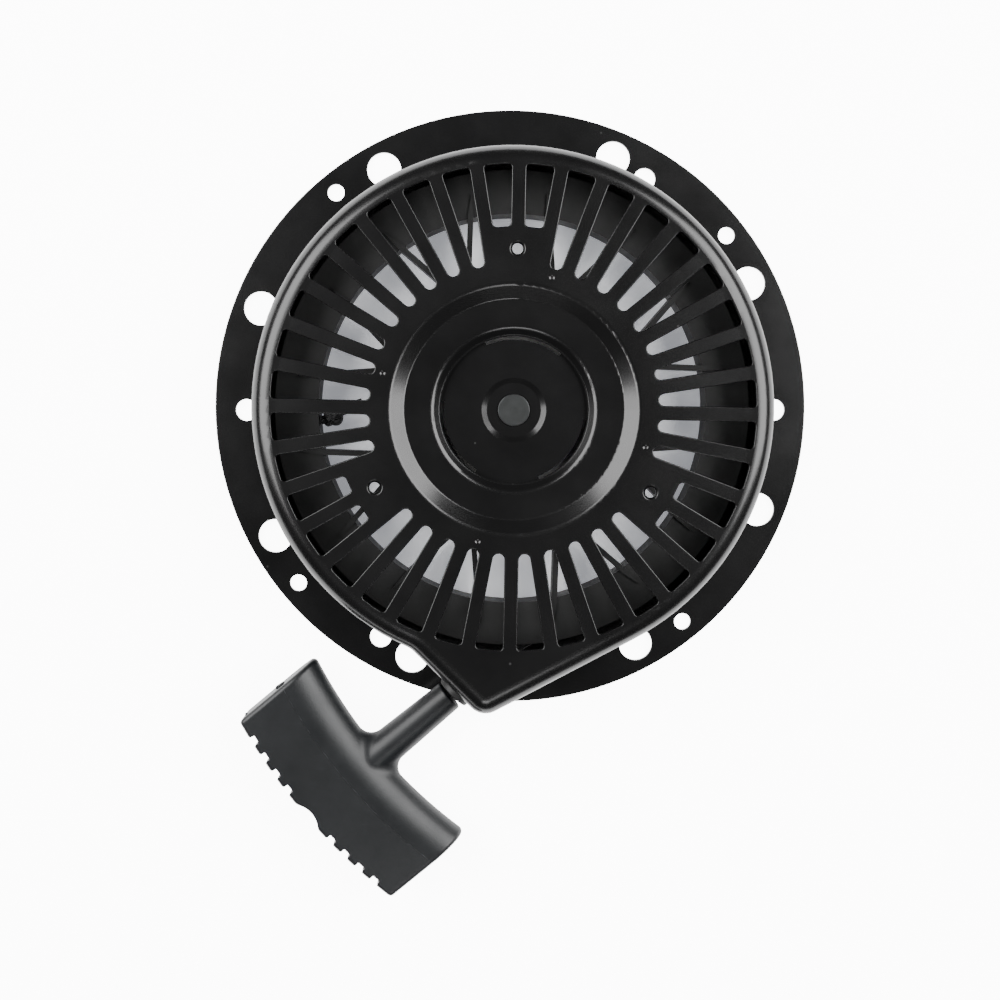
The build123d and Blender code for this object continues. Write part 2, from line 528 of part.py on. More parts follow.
def handle_grip():
    """The moulded T-handle: stem, bowed grip, rope bore and the knot's recess."""
    half = GRIP_LENGTH / 2
    bow_r = (half**2 + GRIP_BOW**2) / (2 * GRIP_BOW)
    bow_x = GRIP_FRONT - bow_r
    spread = math.degrees(math.asin(half / bow_r)) + 2
    section = Plane.XZ * grip_section()
    swept = revolve(section, Axis((bow_x, 0, 0), (0, 0, 1)), revolution_arc=2 * spread)
    swept = Pos(bow_x, 0, 0) * Rot(Z=-spread) * Pos(-bow_x, 0, 0) * swept
    grip = swept & Pos(GRIP_PARTING, 0, 0) * Box(2 * GRIP_PARTING, GRIP_LENGTH, 4 * GRIP_HALF)
    sides = [grip.faces().sort_by(Axis.Y)[0], grip.faces().sort_by(Axis.Y)[-1]]
    grip = fillet([e for face in sides for e in face.edges()], GRIP_END_R)
    plan = grip_plan(bow_x)
    grip = grip & Pos(0, 0, -2 * GRIP_HALF) * extrude(plan, 4 * GRIP_HALF)
    stem = extrude_cone(STEM_END_R, STEM_ROOT_R, GRIP_PARTING - 4)
    joined = grip + stem
    joined = fillet([e for e in joined.edges() if near_root(e)], STEM_BLEND_R)
    bore = Rot(Y=90) * disc(ROPE_BORE_R, -1, GRIP_BACK)
    recess = Rot(Y=90) * disc(RECESS_R, RECESS_START, GRIP_BACK + 1)
    body = joined - bore - recess
    tip = [e for e in body.edges() if abs(e.center().X) < 0.01 and e.length > 6 * STEM_END_R]
    return HANDLE_PLACE * fillet(tip, STEM_END_EDGE_R)


def near_root(edge):
    """Whether an edge is where the stem meets the front of the grip."""
    middle = edge @ 0.5
    across = math.hypot(middle.Y, middle.Z)
    return GRIP_FRONT - 3 < middle.X < GRIP_PARTING - 6 and abs(across - STEM_ROOT_R) < 1.2


def extrude_cone(start_radius, end_radius, length):
    """A tapering round bar along +X from the origin."""
    outline = Polyline((0, 0), (length, 0), (length, end_radius), (0, start_radius), close=True)
    return revolve(make_face(outline), Axis.X)


def handle_insert():
    """The steel washer that the rope's knot pulls against inside the grip."""
    washer = disc(RECESS_R - 0.2, RECESS_START, RECESS_START + INSERT_T) - disc(ROPE_BORE_R, 0, GRIP_BACK)
    return HANDLE_PLACE * Rot(Y=90) * washer


def rope_tail():
    """The rope inside the handle, from the stem's end to the knot."""
    return HANDLE_PLACE * Rot(Y=90) * disc(ROPE_D / 2, 0, RECESS_START + INSERT_T)


def rope_knot_handle():
    """The knot behind the steel washer."""
    seat = RECESS_START + INSERT_T
    ball = Pos(0, 0, seat + KNOT_R * 0.8) * Sphere(KNOT_R)
    return HANDLE_PLACE * Rot(Y=90) * (ball & disc(RECESS_R, seat, GRIP_BACK + KNOT_R))


PARTS = {
    "housing": housing,
    "hub_plate": hub_plate,
    "centre_leg": centre_leg,
    "centre_pin": centre_pin,
    "lower_washer": lower_washer,
    "thrust_washer": thrust_washer,
    "rope_eyelet": rope_eyelet,
    "rope_guide_bush": rope_guide_bush,
    "rope_lead": rope_lead,
    "pulley": pulley,
    "rewind_spring": rewind_spring,
    "spring_cover": spring_cover,
    "rope_wound": rope_wound,
    "rope_knot_pulley": rope_knot_pulley,
    "dog_springs": dog_springs,
    "retainer": retainer,
    "brake_spring": brake_spring,
    "handle_grip": handle_grip,
    "handle_insert": handle_insert,
    "rope_tail": rope_tail,
    "rope_knot_handle": rope_knot_handle,
}

os.makedirs("parts", exist_ok=True)
for name, make in PARTS.items():
    export_step(make(), f"parts/{name}.step")
for number, azimuth in enumerate([0, 180], start=1):
    export_step(Rot(Z=azimuth) * starter_dog(), f"parts/starter_dog_{number}.step")
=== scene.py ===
import math
import random

import bmesh
import bpy
from mathutils import Matrix, Vector
from mathutils.bvhtree import BVHTree


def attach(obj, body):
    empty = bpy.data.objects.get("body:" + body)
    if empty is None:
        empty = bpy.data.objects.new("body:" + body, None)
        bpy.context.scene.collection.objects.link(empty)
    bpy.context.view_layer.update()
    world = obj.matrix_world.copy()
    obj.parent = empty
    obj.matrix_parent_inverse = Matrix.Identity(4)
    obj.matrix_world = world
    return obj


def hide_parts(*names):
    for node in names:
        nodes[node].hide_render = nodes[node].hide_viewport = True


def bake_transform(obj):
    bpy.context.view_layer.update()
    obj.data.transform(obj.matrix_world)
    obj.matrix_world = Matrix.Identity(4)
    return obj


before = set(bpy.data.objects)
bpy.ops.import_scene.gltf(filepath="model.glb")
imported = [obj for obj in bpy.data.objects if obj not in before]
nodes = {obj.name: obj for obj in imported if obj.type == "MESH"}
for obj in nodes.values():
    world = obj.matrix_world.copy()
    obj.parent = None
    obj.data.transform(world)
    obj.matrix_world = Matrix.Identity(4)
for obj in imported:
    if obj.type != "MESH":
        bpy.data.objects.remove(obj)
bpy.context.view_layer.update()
MM = 0.001


# ---------------------------------------------------------------- housing
# The flange and the slotted cup are one steel stamping, 1.9 mm thick. It is dipped in black
# semi-gloss enamel, which leaves a faint orange peel and a few dust nibs; its thinner film on
# edges is not drawn.

def effect(name, inputs, outputs):
    """A new shader node group with plain sockets; returns it with its two end nodes."""
    group = bpy.data.node_groups.new(name, "ShaderNodeTree")
    for label, kind, value in inputs:
        socket = group.interface.new_socket(label, in_out="INPUT", socket_type=kind)
        socket.default_value = value
    for label, kind in outputs:
        group.interface.new_socket(label, in_out="OUTPUT", socket_type=kind)
    return group, group.nodes.new("NodeGroupInput"), group.nodes.new("NodeGroupOutput")


def put(tree, kind, settings=None, **sockets):
    """Adds a shader node; settings are its properties, sockets its values or links."""
    node = tree.nodes.new("ShaderNode" + kind)
    for key, value in (settings or {}).items():
        setattr(node, key, value)
    for label, value in sockets.items():
        feed(tree, node, label.replace("_", " "), value)
    return node


def feed(tree, node, label, value):
    """Sets a socket, by name or number, to a value or links another socket to it."""
    by_number = label[:1] == "i" and label[1:].isdigit()
    socket = node.inputs[int(label[1:]) if by_number else label]
    if isinstance(value, bpy.types.NodeSocket):
        tree.links.new(value, socket)
    else:
        socket.default_value = value


def group_node(tree, group, **sockets):
    """Places a node group in a material."""
    node = tree.nodes.new("ShaderNodeGroup")
    node.node_tree = group
    for label, value in sockets.items():
        feed(tree, node, label.replace("_", " "), value)
    return node


def ramp(tree, factor, low, high, from_value, to_value):
    """Maps a factor between low and high to a value range, clamped."""
    return put(tree, "MapRange", {"clamp": True}, Value=factor, From_Min=low, From_Max=high,
               To_Min=from_value, To_Max=to_value).outputs[0]


def mix(tree, factor, first, second):
    """A colour mix of two colours or sockets."""
    node = put(tree, "Mix", {"data_type": "RGBA"})
    feed(tree, node, "i0", factor)
    feed(tree, node, "i6", first)
    feed(tree, node, "i7", second)
    return node.outputs[2]


def material(name, **plain):
    """A new material; returns it, its tree and its Principled node with the plain values set."""
    made = bpy.data.materials.new(name)
    made.use_nodes = True
    tree = made.node_tree
    shader = tree.nodes["Principled BSDF"]
    for label, value in plain.items():
        shader.inputs[label.replace("_", " ")].default_value = value
    return made, tree, shader


def place(tree):
    """The surface point in the object's own coordinates, in metres."""
    return put(tree, "TexCoord").outputs["Object"]


def grey(value):
    """An opaque grey."""
    return (value, value, value, 1)


def dress(node_name, made):
    """Gives a CAD node one material."""
    slots = nodes[node_name].data.materials
    slots.clear()
    slots.append(made)


NIB_FREE_SHARE = 0.82
NIB_TOP, NIB_FOOT = 0.03, 0.085


def make_film():
    """Orange peel and dust nibs of a sprayed or dipped film, as a height and a nib mask."""
    group, start, end = effect(
        "paint_film",
        [("Point", "NodeSocketVector", (0, 0, 0)), ("Peel Scale", "NodeSocketFloat", 700.0),
         ("Peel Depth", "NodeSocketFloat", 0.25), ("Nib Scale", "NodeSocketFloat", 140.0)],
        [("Height", "NodeSocketFloat"), ("Nibs", "NodeSocketFloat"), ("Smudge", "NodeSocketFloat")],
    )
    point = start.outputs["Point"]
    peel = put(group, "TexNoise", Vector=point, Scale=start.outputs["Peel Scale"], Detail=2.0)
    cells = put(group, "TexVoronoi", Vector=point, Scale=start.outputs["Nib Scale"])
    size = put(group, "SeparateColor", Color=cells.outputs["Color"])
    chosen = put(group, "Math", {"operation": "GREATER_THAN"},
                 i0=size.outputs[0], i1=NIB_FREE_SHARE)
    dot = ramp(group, cells.outputs["Distance"], NIB_TOP, NIB_FOOT, 1.0, 0.0)
    nibs = put(group, "Math", {"operation": "MULTIPLY"}, i0=dot, i1=chosen.outputs[0])
    peel_height = put(group, "Math", {"operation": "MULTIPLY"},
                      i0=peel.outputs[0], i1=start.outputs["Peel Depth"])
    height = put(group, "Math", {"operation": "ADD"}, i0=peel_height.outputs[0], i1=nibs.outputs[0])
    smudge = put(group, "TexNoise", Vector=point, Scale=26.0, Detail=4.0, Roughness=0.6)
    group.links.new(height.outputs[0], end.inputs["Height"])
    group.links.new(nibs.outputs[0], end.inputs["Nibs"])
    group.links.new(smudge.outputs[0], end.inputs["Smudge"])
    return group


paint_film = make_film()


def black_enamel(name, nib_scale):
    """Black enamel over steel, with its film from paint_film."""
    made, tree, shader = material(name, Specular_IOR_Level=0.5)
    film = group_node(tree, paint_film, Point=place(tree), Nib_Scale=nib_scale)
    base = mix(tree, film.outputs["Smudge"],
               (0.0034, 0.0034, 0.0035, 1), (0.0052, 0.0052, 0.0053, 1))
    base = mix(tree, ramp(tree, film.outputs["Nibs"], 0.2, 1.0, 0.0, 0.5), base, grey(0.06))
    feed(tree, shader, "Base Color", base)
    feed(tree, shader, "Roughness", ramp(tree, film.outputs["Smudge"], 0.3, 0.7, 0.2, 0.26))
    bump = put(tree, "Bump", Height=film.outputs["Height"], Distance=0.00002, Strength=0.35)
    feed(tree, shader, "Normal", bump.outputs[0])
    return made


dress("housing", black_enamel("housing_enamel", nib_scale=95.0))


# ---------------------------------------------------------------- hub plate
# A thicker disc, welded under the hub opening by three tabs and painted with the housing.

dress("hub_plate", black_enamel("hub_plate_enamel", nib_scale=120.0))


# ---------------------------------------------------------------- centre leg, pin and washers
# Turned steel, zinc plated and dulled: the leg's riveted end shows in the middle of the hub.

def make_turning():
    """Concentric tool marks about the crank axis, and blotches of dull plating."""
    group, start, end = effect(
        "turned_marks",
        [("Point", "NodeSocketVector", (0, 0, 0)), ("Rings", "NodeSocketFloat", 2600.0)],
        [("Marks", "NodeSocketFloat"), ("Blotch", "NodeSocketFloat")],
    )
    parts = put(group, "SeparateXYZ", Vector=start.outputs["Point"])
    flat = put(group, "CombineXYZ", X=parts.outputs[0], Y=parts.outputs[1])
    radius = put(group, "VectorMath", {"operation": "LENGTH"}, i0=flat.outputs[0])
    wave = put(group, "Math", {"operation": "MULTIPLY"},
               i0=radius.outputs["Value"], i1=start.outputs["Rings"])
    marks = put(group, "TexNoise", {"noise_dimensions": "1D"},
                W=wave.outputs[0], Scale=1.0, Detail=3.0)
    blotch = put(group, "TexNoise", Vector=start.outputs["Point"], Scale=220.0, Detail=5.0)
    group.links.new(marks.outputs[0], end.inputs["Marks"])
    group.links.new(blotch.outputs[0], end.inputs["Blotch"])
    return group


turned_marks = make_turning()


def turned_steel(name, dark, light, rough):
    """Dull plated steel with tool marks."""
    made, tree, shader = material(name, Metallic=1.0)
    marks = group_node(tree, turned_marks, Point=place(tree))
    feed(tree, shader, "Base Color", mix(tree, marks.outputs["Blotch"], dark, light))
    sheen = ramp(tree, marks.outputs["Marks"], 0.3, 0.7, rough - 0.08, rough + 0.1)
    feed(tree, shader, "Roughness", sheen)
    bump = put(tree, "Bump", Height=marks.outputs["Marks"], Distance=0.00003, Strength=0.5)
    feed(tree, shader, "Normal", bump.outputs[0])
    return made


dress("centre_leg", turned_steel(
    "riveted_leg", dark=(0.045, 0.047, 0.047, 1), light=(0.075, 0.078, 0.078, 1), rough=0.42))
dull_steel = turned_steel(
    "dull_plated_steel", dark=grey(0.2), light=(0.33, 0.33, 0.32, 1), rough=0.5)
for part in ("centre_pin", "lower_washer", "thrust_washer", "handle_insert"):
    dress(part, dull_steel)


# ---------------------------------------------------------------- rope eyelet
# A drawn steel eyelet, polished where the rope rubs, clinched in the outlet face.

dress("rope_eyelet", turned_steel(
    "polished_eyelet", dark=grey(0.75), light=(0.9, 0.9, 0.89, 1), rough=0.24))


# ---------------------------------------------------------------- rope guide bush
# A moulded black bush outside the eyelet; the handle's stem comes to rest on it.

def make_grain():
    """The fine spark-eroded grain of a moulded surface, with slow mottling and scuffs."""
    group, start, end = effect(
        "moulded_grain",
        [("Point", "NodeSocketVector", (0, 0, 0)), ("Grain Scale", "NodeSocketFloat", 1800.0)],
        [("Grain", "NodeSocketFloat"), ("Mottle", "NodeSocketFloat"),
         ("Scuffs", "NodeSocketFloat")],
    )
    point = start.outputs["Point"]
    grain = put(group, "TexNoise", Vector=point, Scale=start.outputs["Grain Scale"], Detail=2.0)
    mottle = put(group, "TexNoise", Vector=point, Scale=38.0, Detail=5.0, Roughness=0.6)
    stretched = put(group, "Mapping", Vector=point, Rotation=(0.2, 0.1, 0.6), Scale=(60, 1400, 400))
    scratch = put(group, "TexNoise", Vector=stretched.outputs[0], Scale=1.0, Detail=1.0)
    where = put(group, "TexNoise", Vector=point, Scale=70.0, Detail=2.0)
    fine = ramp(group, scratch.outputs[0], 0.66, 0.74, 0.0, 1.0)
    some = ramp(group, where.outputs[0], 0.55, 0.68, 0.0, 1.0)
    scuffs = put(group, "Math", {"operation": "MULTIPLY"}, i0=fine, i1=some)
    group.links.new(grain.outputs[0], end.inputs["Grain"])
    group.links.new(mottle.outputs[0], end.inputs["Mottle"])
    group.links.new(scuffs.outputs[0], end.inputs["Scuffs"])
    return group


moulded_grain = make_grain()


def moulding(name, dark, light, scuffed, rough, grain_scale, depth):
    """A moulded plastic or rubber with grain, mottling and light scuffs."""
    made, tree, shader = material(name, Specular_IOR_Level=0.45)
    grain = group_node(tree, moulded_grain, Point=place(tree), Grain_Scale=grain_scale)
    colour = mix(tree, ramp(tree, grain.outputs["Mottle"], 0.3, 0.7, 0.0, 1.0), dark, light)
    colour = mix(tree, ramp(tree, grain.outputs["Scuffs"], 0.0, 1.0, 0.0, 0.6), colour, scuffed)
    feed(tree, shader, "Base Color", colour)
    sheen = ramp(tree, grain.outputs["Mottle"], 0.3, 0.7, rough - 0.04, rough + 0.05)
    feed(tree, shader, "Roughness", sheen)
    bump = put(tree, "Bump", Height=grain.outputs["Grain"], Distance=depth, Strength=0.5)
    feed(tree, shader, "Normal", bump.outputs[0])
    return made


dress("rope_guide_bush", moulding(
    "bush_rubber", dark=grey(0.008), light=grey(0.012), scuffed=grey(0.02),
    rough=0.55, grain_scale=2400.0, depth=0.00004))


# ---------------------------------------------------------------- pulley
# One nylon moulding: hub, sixteen thin struts and a grooved rim. The surface is plain and satin.

dress("pulley", moulding(
    "pulley_nylon", dark=grey(0.003), light=grey(0.0055), scuffed=grey(0.012),
    rough=0.5, grain_scale=1500.0, depth=0.00005))


# ---------------------------------------------------------------- springs and spring cover
# Blued spring strip and music wire, under a thin plated keeper disc.

spring_steel = turned_steel(
    "blued_spring_steel", dark=(0.07, 0.075, 0.09, 1), light=(0.16, 0.165, 0.18, 1), rough=0.35)
for part in ("rewind_spring", "dog_springs", "brake_spring"):
    dress(part, spring_steel)
dress("spring_cover", dull_steel)


# ---------------------------------------------------------------- dogs and retainer
# Two sintered steel dogs, lightly oiled, over a moulded retainer with two cam slots.

def sintered(name):
    """Sintered steel: even and dull, with open pores."""
    made, tree, shader = material(name, Metallic=1.0)
    point = place(tree)
    pores = put(tree, "TexVoronoi", Vector=point, Scale=2200.0)
    tone = put(tree, "TexNoise", Vector=point, Scale=160.0, Detail=4.0)
    colour = mix(tree, tone.outputs[0], (0.16, 0.15, 0.14, 1), (0.3, 0.29, 0.27, 1))
    feed(tree, shader, "Base Color", colour)
    feed(tree, shader, "Roughness", ramp(tree, tone.outputs[0], 0.3, 0.7, 0.42, 0.6))
    bump = put(tree, "Bump", Height=pores.outputs["Distance"], Distance=0.00005, Strength=0.4)
    feed(tree, shader, "Normal", bump.outputs[0])
    return made


dog_steel = sintered("sintered_dog_steel")
dress("starter_dog_1", dog_steel)
dress("starter_dog_2", dog_steel)
dress("retainer", moulding(
    "retainer_nylon", dark=grey(0.012), light=grey(0.02), scuffed=grey(0.04),
    rough=0.5, grain_scale=1900.0, depth=0.00004))


# ---------------------------------------------------------------- handle
# A one-piece moulded T-handle in dark slate nylon with a satin grain. It has a fine parting
# line round the grip, and small nubs of flash at the ends of that line.

slate_nylon = moulding(
    "handle_nylon", dark=(0.0026, 0.0032, 0.0040, 1), light=(0.0038, 0.0046, 0.0056, 1),
    scuffed=(0.016, 0.018, 0.021, 1), rough=0.40, grain_scale=1700.0, depth=0.00007)
dress("handle_grip", slate_nylon)

PULL_AZ = math.radians(219.7)
pull = Vector((math.cos(PULL_AZ), math.sin(PULL_AZ), 0))
STEM_GAP = 6.1
STEM_END = Vector((-24.819, -130.178, 13.0)) * MM
STEM_END += pull * STEM_GAP * MM
OUTWARDS = Matrix.Rotation(PULL_AZ, 4, "Z")
PARTING, BACK_HALF, BACK_TOP = 61.0 * MM, 54.65 * MM, 11.0 * MM
BOW_CENTRE = -193.73 * MM
FLASH_STEPS = 150
FLASH_END_GAP = 0.0006
SLOW_WANDER, FINE_WANDER = 0.00004, 0.000025
FLASH_WIDTH, FLASH_RISE, FLASH_ROOT = 0.00013, 0.00014, 0.0001


def on_handle(x, y, z):
    """A point in the handle's own axes: x outwards from the stem's end, y across, z up."""
    return STEM_END + OUTWARDS @ Vector((x, y, z))


def flash_ridge():
    """The thin, broken ridge of flash where the mould's halves met round the grip."""
    chance = random.Random(41)
    work = bmesh.new()
    mesh = bpy.data.meshes.new("grip_flash")
    line = []
    reach = PARTING - BOW_CENTRE
    half_turn = math.asin((BACK_HALF - FLASH_END_GAP) / reach)
    for side in (1, -1):
        previous = None
        for step in range(FLASH_STEPS + 1):
            turn = half_turn * (2 * step / FLASH_STEPS - 1)
            wander = SLOW_WANDER * math.sin(37 * turn * 6) + chance.uniform(-1, 1) * FINE_WANDER
            x = BOW_CENTRE + (reach + wander) * math.cos(turn)
            y = (reach + wander) * math.sin(turn)
            beat = math.sin(step * 0.33 + side) * math.sin(step * 0.071 + 1.7)
            swell = 0.45 + 0.55 * max(0.0, beat)
            width = FLASH_WIDTH * (0.6 + swell)
            rise = FLASH_RISE * swell * chance.uniform(0.7, 1.2)
            surface = side * grip_top(x, y)
            root = surface - side * FLASH_ROOT
            spots = [(x - width, root), (x, surface + side * rise), (x + width, root)]
            row = [work.verts.new(on_handle(px, y, pz)) for px, pz in spots]
            if previous:
                for index in range(2):
                    work.faces.new((previous[index], previous[index + 1],
                                    row[index + 1], row[index]))
            previous = row
    work.normal_update()
    work.to_mesh(mesh)
    work.free()
    piece = bpy.data.objects.new("grip_flash", mesh)
    bpy.context.scene.collection.objects.link(piece)
    return piece


def grip_probe():
    """A ray caster on the grip's own mesh, for seating the trim on its real surface."""
    grip = nodes["handle_grip"].data
    corners = [vert.co for vert in grip.vertices]
    return BVHTree.FromPolygons(corners, [tuple(face.vertices) for face in grip.polygons])


grip_surface = grip_probe()


ABOVE_GRIP = 0.05


def grip_top(x, y):
    """Height of the grip's surface above the rope's line at a point of the parting line."""
    hit = grip_surface.ray_cast(on_handle(x, y, ABOVE_GRIP), Vector((0, 0, -1)))[0]
    return hit.z - STEM_END.z if hit else BACK_TOP


flash = flash_ridge()
flash.data.materials.append(moulding(
    "flash_nylon", dark=(0.012, 0.013, 0.014, 1), light=(0.05, 0.054, 0.058, 1),
    scuffed=(0.09, 0.095, 0.1, 1), rough=0.4, grain_scale=2500.0, depth=0.00003))
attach(flash, "handle")


def flash_nub(name, x, y, z, size, seed):
    """A torn nub of flash on the grip's end: a crumpled little lump."""
    chance = random.Random(seed)
    work = bmesh.new()
    bmesh.ops.create_icosphere(work, subdivisions=3, radius=1.0)
    for vert in work.verts:
        p = vert.co
        lump = 1 + 0.22 * math.sin(3.1 * p.x + seed) * math.cos(2.7 * p.y)
        lump += 0.2 * math.sin(5.3 * p.z + 2 * p.x)
        lump += chance.uniform(-0.05, 0.05)
        vert.co = on_handle(x + p.x * size[0] * lump, y + p.y * size[1] * lump,
                            z + p.z * size[2] * lump)
    for face in work.faces:
        face.smooth = True
    mesh = bpy.data.meshes.new(name)
    work.to_mesh(mesh)
    work.free()
    piece = bpy.data.objects.new(name, mesh)
    bpy.context.scene.collection.objects.link(piece)
    piece.data.materials.append(slate_nylon)
    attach(piece, "handle")


flash_nub("flash_nub_left", 57.5 * MM, -54.9 * MM, 3.5 * MM,
          size=(2.2 * MM, 0.8 * MM, 2.4 * MM), seed=3)
flash_nub("flash_nub_left_corner", 78.0 * MM, -54.7 * MM, 4.0 * MM,
          size=(0.7 * MM, 0.6 * MM, 1.0 * MM), seed=8)
flash_nub("flash_nub_right", 61.5 * MM, 54.8 * MM, 2.0 * MM,
          size=(1.3 * MM, 0.7 * MM, 1.6 * MM), seed=5)


# ---------------------------------------------------------------- rope
# 4 mm braided black nylon. It winds in the groove, leaves it at a tangent, passes the eyelet
# and the stem, and ends in a knot at each end.

ROPE_R = 2.0 * MM
ROPE_Z = 13.0 * MM
GROOVE_LINE = 93.9 * MM
CARRIERS, LAY, MEAN_RELIEF = 4, 5.2, 0.75


def compass(radius, azimuth, height):
    """A point from its radius and azimuth in degrees about the crank axis."""
    angle = math.radians(azimuth)
    return Vector((radius * math.cos(angle), radius * math.sin(angle), height))


eyelet_centre = compass(109.6 * MM, 225, ROPE_Z) + compass(74.5 * MM, 315, 0)


def braid_height(along, turns):
    """The relief of a two-way braid at a distance along and a share of a turn."""
    first = 0.5 + 0.5 * math.cos(2 * math.pi * (CARRIERS * turns + along / LAY))
    second = 0.5 + 0.5 * math.cos(2 * math.pi * (CARRIERS * turns - along / LAY))
    round_way = math.cos(2 * math.pi * CARRIERS * turns)
    over = 0.5 + 0.5 * round_way * math.cos(2 * math.pi * along / LAY)
    return max(first * (0.6 + 0.4 * over), second * (1.0 - 0.4 * over))


def rope_mesh(name, points, sides, relief):
    """A braided tube along closely spaced points, capped, with distance and turn as UV."""
    mesh = bpy.data.meshes.new(name)
    work = bmesh.new()
    uv = work.loops.layers.uv.new("Rope")
    heading = (points[1] - points[0]).normalized()
    across = heading.orthogonal().normalized()
    rings, travelled = [], 0.0
    distances = []
    for index, point in enumerate(points):
        ahead = points[min(index + 1, len(points) - 1)] - points[max(index - 1, 0)]
        ahead.normalize()
        across = (across - ahead * across.dot(ahead)).normalized()
        side = ahead.cross(across)
        if index:
            travelled += (point - points[index - 1]).length
        distances.append(travelled)
        ring = []
        for step in range(sides):
            share = step / sides
            angle = 2 * math.pi * share
            lift = relief * (braid_height(travelled / MM, share) - MEAN_RELIEF)
            radius = ROPE_R + lift
            outwards = across * math.cos(angle) + side * math.sin(angle)
            ring.append(work.verts.new(point + outwards * radius))
        rings.append(ring)
    for index in range(len(rings) - 1):
        here, there = rings[index], rings[index + 1]
        for step in range(sides):
            after = (step + 1) % sides
            face = work.faces.new((here[step], here[after], there[after], there[step]))
            face.smooth = True
            corners = [(index, step), (index, step + 1), (index + 1, step + 1), (index + 1, step)]
            for loop, (row, column) in zip(face.loops, corners):
                loop[uv].uv = (distances[row] / MM, column / sides)
    work.faces.new(list(reversed(rings[0])))
    work.faces.new(rings[-1])
    work.normal_update()
    work.to_mesh(mesh)
    work.free()
    piece = bpy.data.objects.new(name, mesh)
    bpy.context.scene.collection.objects.link(piece)
    return piece


def make_braid():
    """The shade and relief of crossing yarns, from a distance in millimetres and a turn."""
    group, start, end = effect(
        "braid",
        [("Along", "NodeSocketFloat", 0.0), ("Turn", "NodeSocketFloat", 0.0),
         ("Carriers", "NodeSocketFloat", CARRIERS), ("Lay", "NodeSocketFloat", LAY)],
        [("Height", "NodeSocketFloat"), ("Yarn", "NodeSocketFloat")],
    )

    def maths(operation, first, second=0.0):
        return put(group, "Math", {"operation": operation}, i0=first, i1=second).outputs[0]

    round_way = maths("MULTIPLY", start.outputs["Turn"], start.outputs["Carriers"])
    long_way = maths("DIVIDE", start.outputs["Along"], start.outputs["Lay"])
    lobes = []
    for operation in ("ADD", "SUBTRACT"):
        phase = maths("MULTIPLY", maths(operation, round_way, long_way), 2 * math.pi)
        lobes.append(maths("MULTIPLY_ADD", maths("COSINE", phase), 0.5))
    height = maths("MAXIMUM", lobes[0], lobes[1])
    yarns_per_carrier = 5
    yarn_phase = maths("MULTIPLY", maths("ADD", round_way, long_way),
                       2 * math.pi * yarns_per_carrier)
    yarn = maths("COSINE", yarn_phase)
    group.links.new(height, end.inputs["Height"])
    group.links.new(yarn, end.inputs["Yarn"])
    return group


braid = make_braid()


def rope_material(name, from_uv):
    """Black braided nylon with painted shade in the braid's valleys; the pattern follows the UV, or
    the line of pull on the straight rope.
    """
    made, tree, shader = material(
        name, Specular_IOR_Level=0.35, Sheen_Weight=0.25, Sheen_Roughness=0.5)
    if from_uv:
        spot = put(tree, "UVMap", {"uv_map": "Rope"})
        parts = put(tree, "SeparateXYZ", Vector=spot.outputs[0])
        along, turn = parts.outputs[0], parts.outputs[1]
    else:
        point = place(tree)
        scaled = put(tree, "VectorMath", {"operation": "SCALE"}, i0=point, Scale=1 / MM)
        long_way = put(tree, "VectorMath", {"operation": "DOT_PRODUCT"},
                       i0=scaled.outputs[0], i1=tuple(pull))
        cross = pull.cross(Vector((0, 0, 1)))
        side = put(tree, "VectorMath", {"operation": "DOT_PRODUCT"},
                   i0=scaled.outputs[0], i1=tuple(cross))
        shift = put(tree, "Math", {"operation": "SUBTRACT"},
                    i0=side.outputs["Value"], i1=eyelet_centre.dot(cross) / MM)
        parts = put(tree, "SeparateXYZ", Vector=scaled.outputs[0])
        rise = put(tree, "Math", {"operation": "SUBTRACT"}, i0=parts.outputs[2], i1=ROPE_Z / MM)
        angle = put(tree, "Math", {"operation": "ARCTAN2"},
                    i0=rise.outputs[0], i1=shift.outputs[0])
        share = put(tree, "Math", {"operation": "DIVIDE"}, i0=angle.outputs[0], i1=2 * math.pi)
        along, turn = long_way.outputs["Value"], share.outputs[0]
    pattern = group_node(tree, braid, Along=along, Turn=turn)
    # the yarns' crowns are lighter and the valleys between them darker: painted shade in the
    # braid's crevices
    tone = ramp(tree, pattern.outputs["Height"], 0.2, 1.0, 0.0, 1.0)
    colour = mix(tree, tone, (0.004, 0.004, 0.0045, 1), (0.017, 0.017, 0.018, 1))
    feed(tree, shader, "Base Color", colour)
    feed(tree, shader, "Roughness", ramp(tree, pattern.outputs["Yarn"], -1.0, 1.0, 0.5, 0.66))
    bump = put(tree, "Bump", Height=pattern.outputs["Height"], Distance=0.00022, Strength=0.8)
    feed(tree, shader, "Normal", bump.outputs[0])
    return made


braided_by_uv = rope_material("braided_rope_coiled", True)
braided_straight = rope_material("braided_rope_straight", False)

WOUND_DEG = 960.0
STEP_DEG = 2.0
EASE_DEG = 14.0
KNOT_AZ = 183.0
HOLE_R, LEAD_R = 91.0 * MM, 92.0 * MM
LOW_STRAND, HIGH_STRAND = 8.9 * MM, 17.1 * MM


def wound_points():
    """The rope's two and two-thirds turns in the groove, from the knot's hole outwards."""
    steps = int(WOUND_DEG / STEP_DEG)
    hole_z = ROPE_Z - 1.0 * MM
    line = [compass(HOLE_R, KNOT_AZ + 2.2, hole_z)]
    for step in range(1, steps + 1):
        share = step / steps
        ease = min(1.0, step * STEP_DEG / EASE_DEG)
        height = LOW_STRAND + (HIGH_STRAND - LOW_STRAND) * share
        radius = GROOVE_LINE * ease + LEAD_R * (1 - ease)
        line.append(compass(radius, KNOT_AZ - WOUND_DEG * share,
                            height * ease + hole_z * (1 - ease)))
    return line


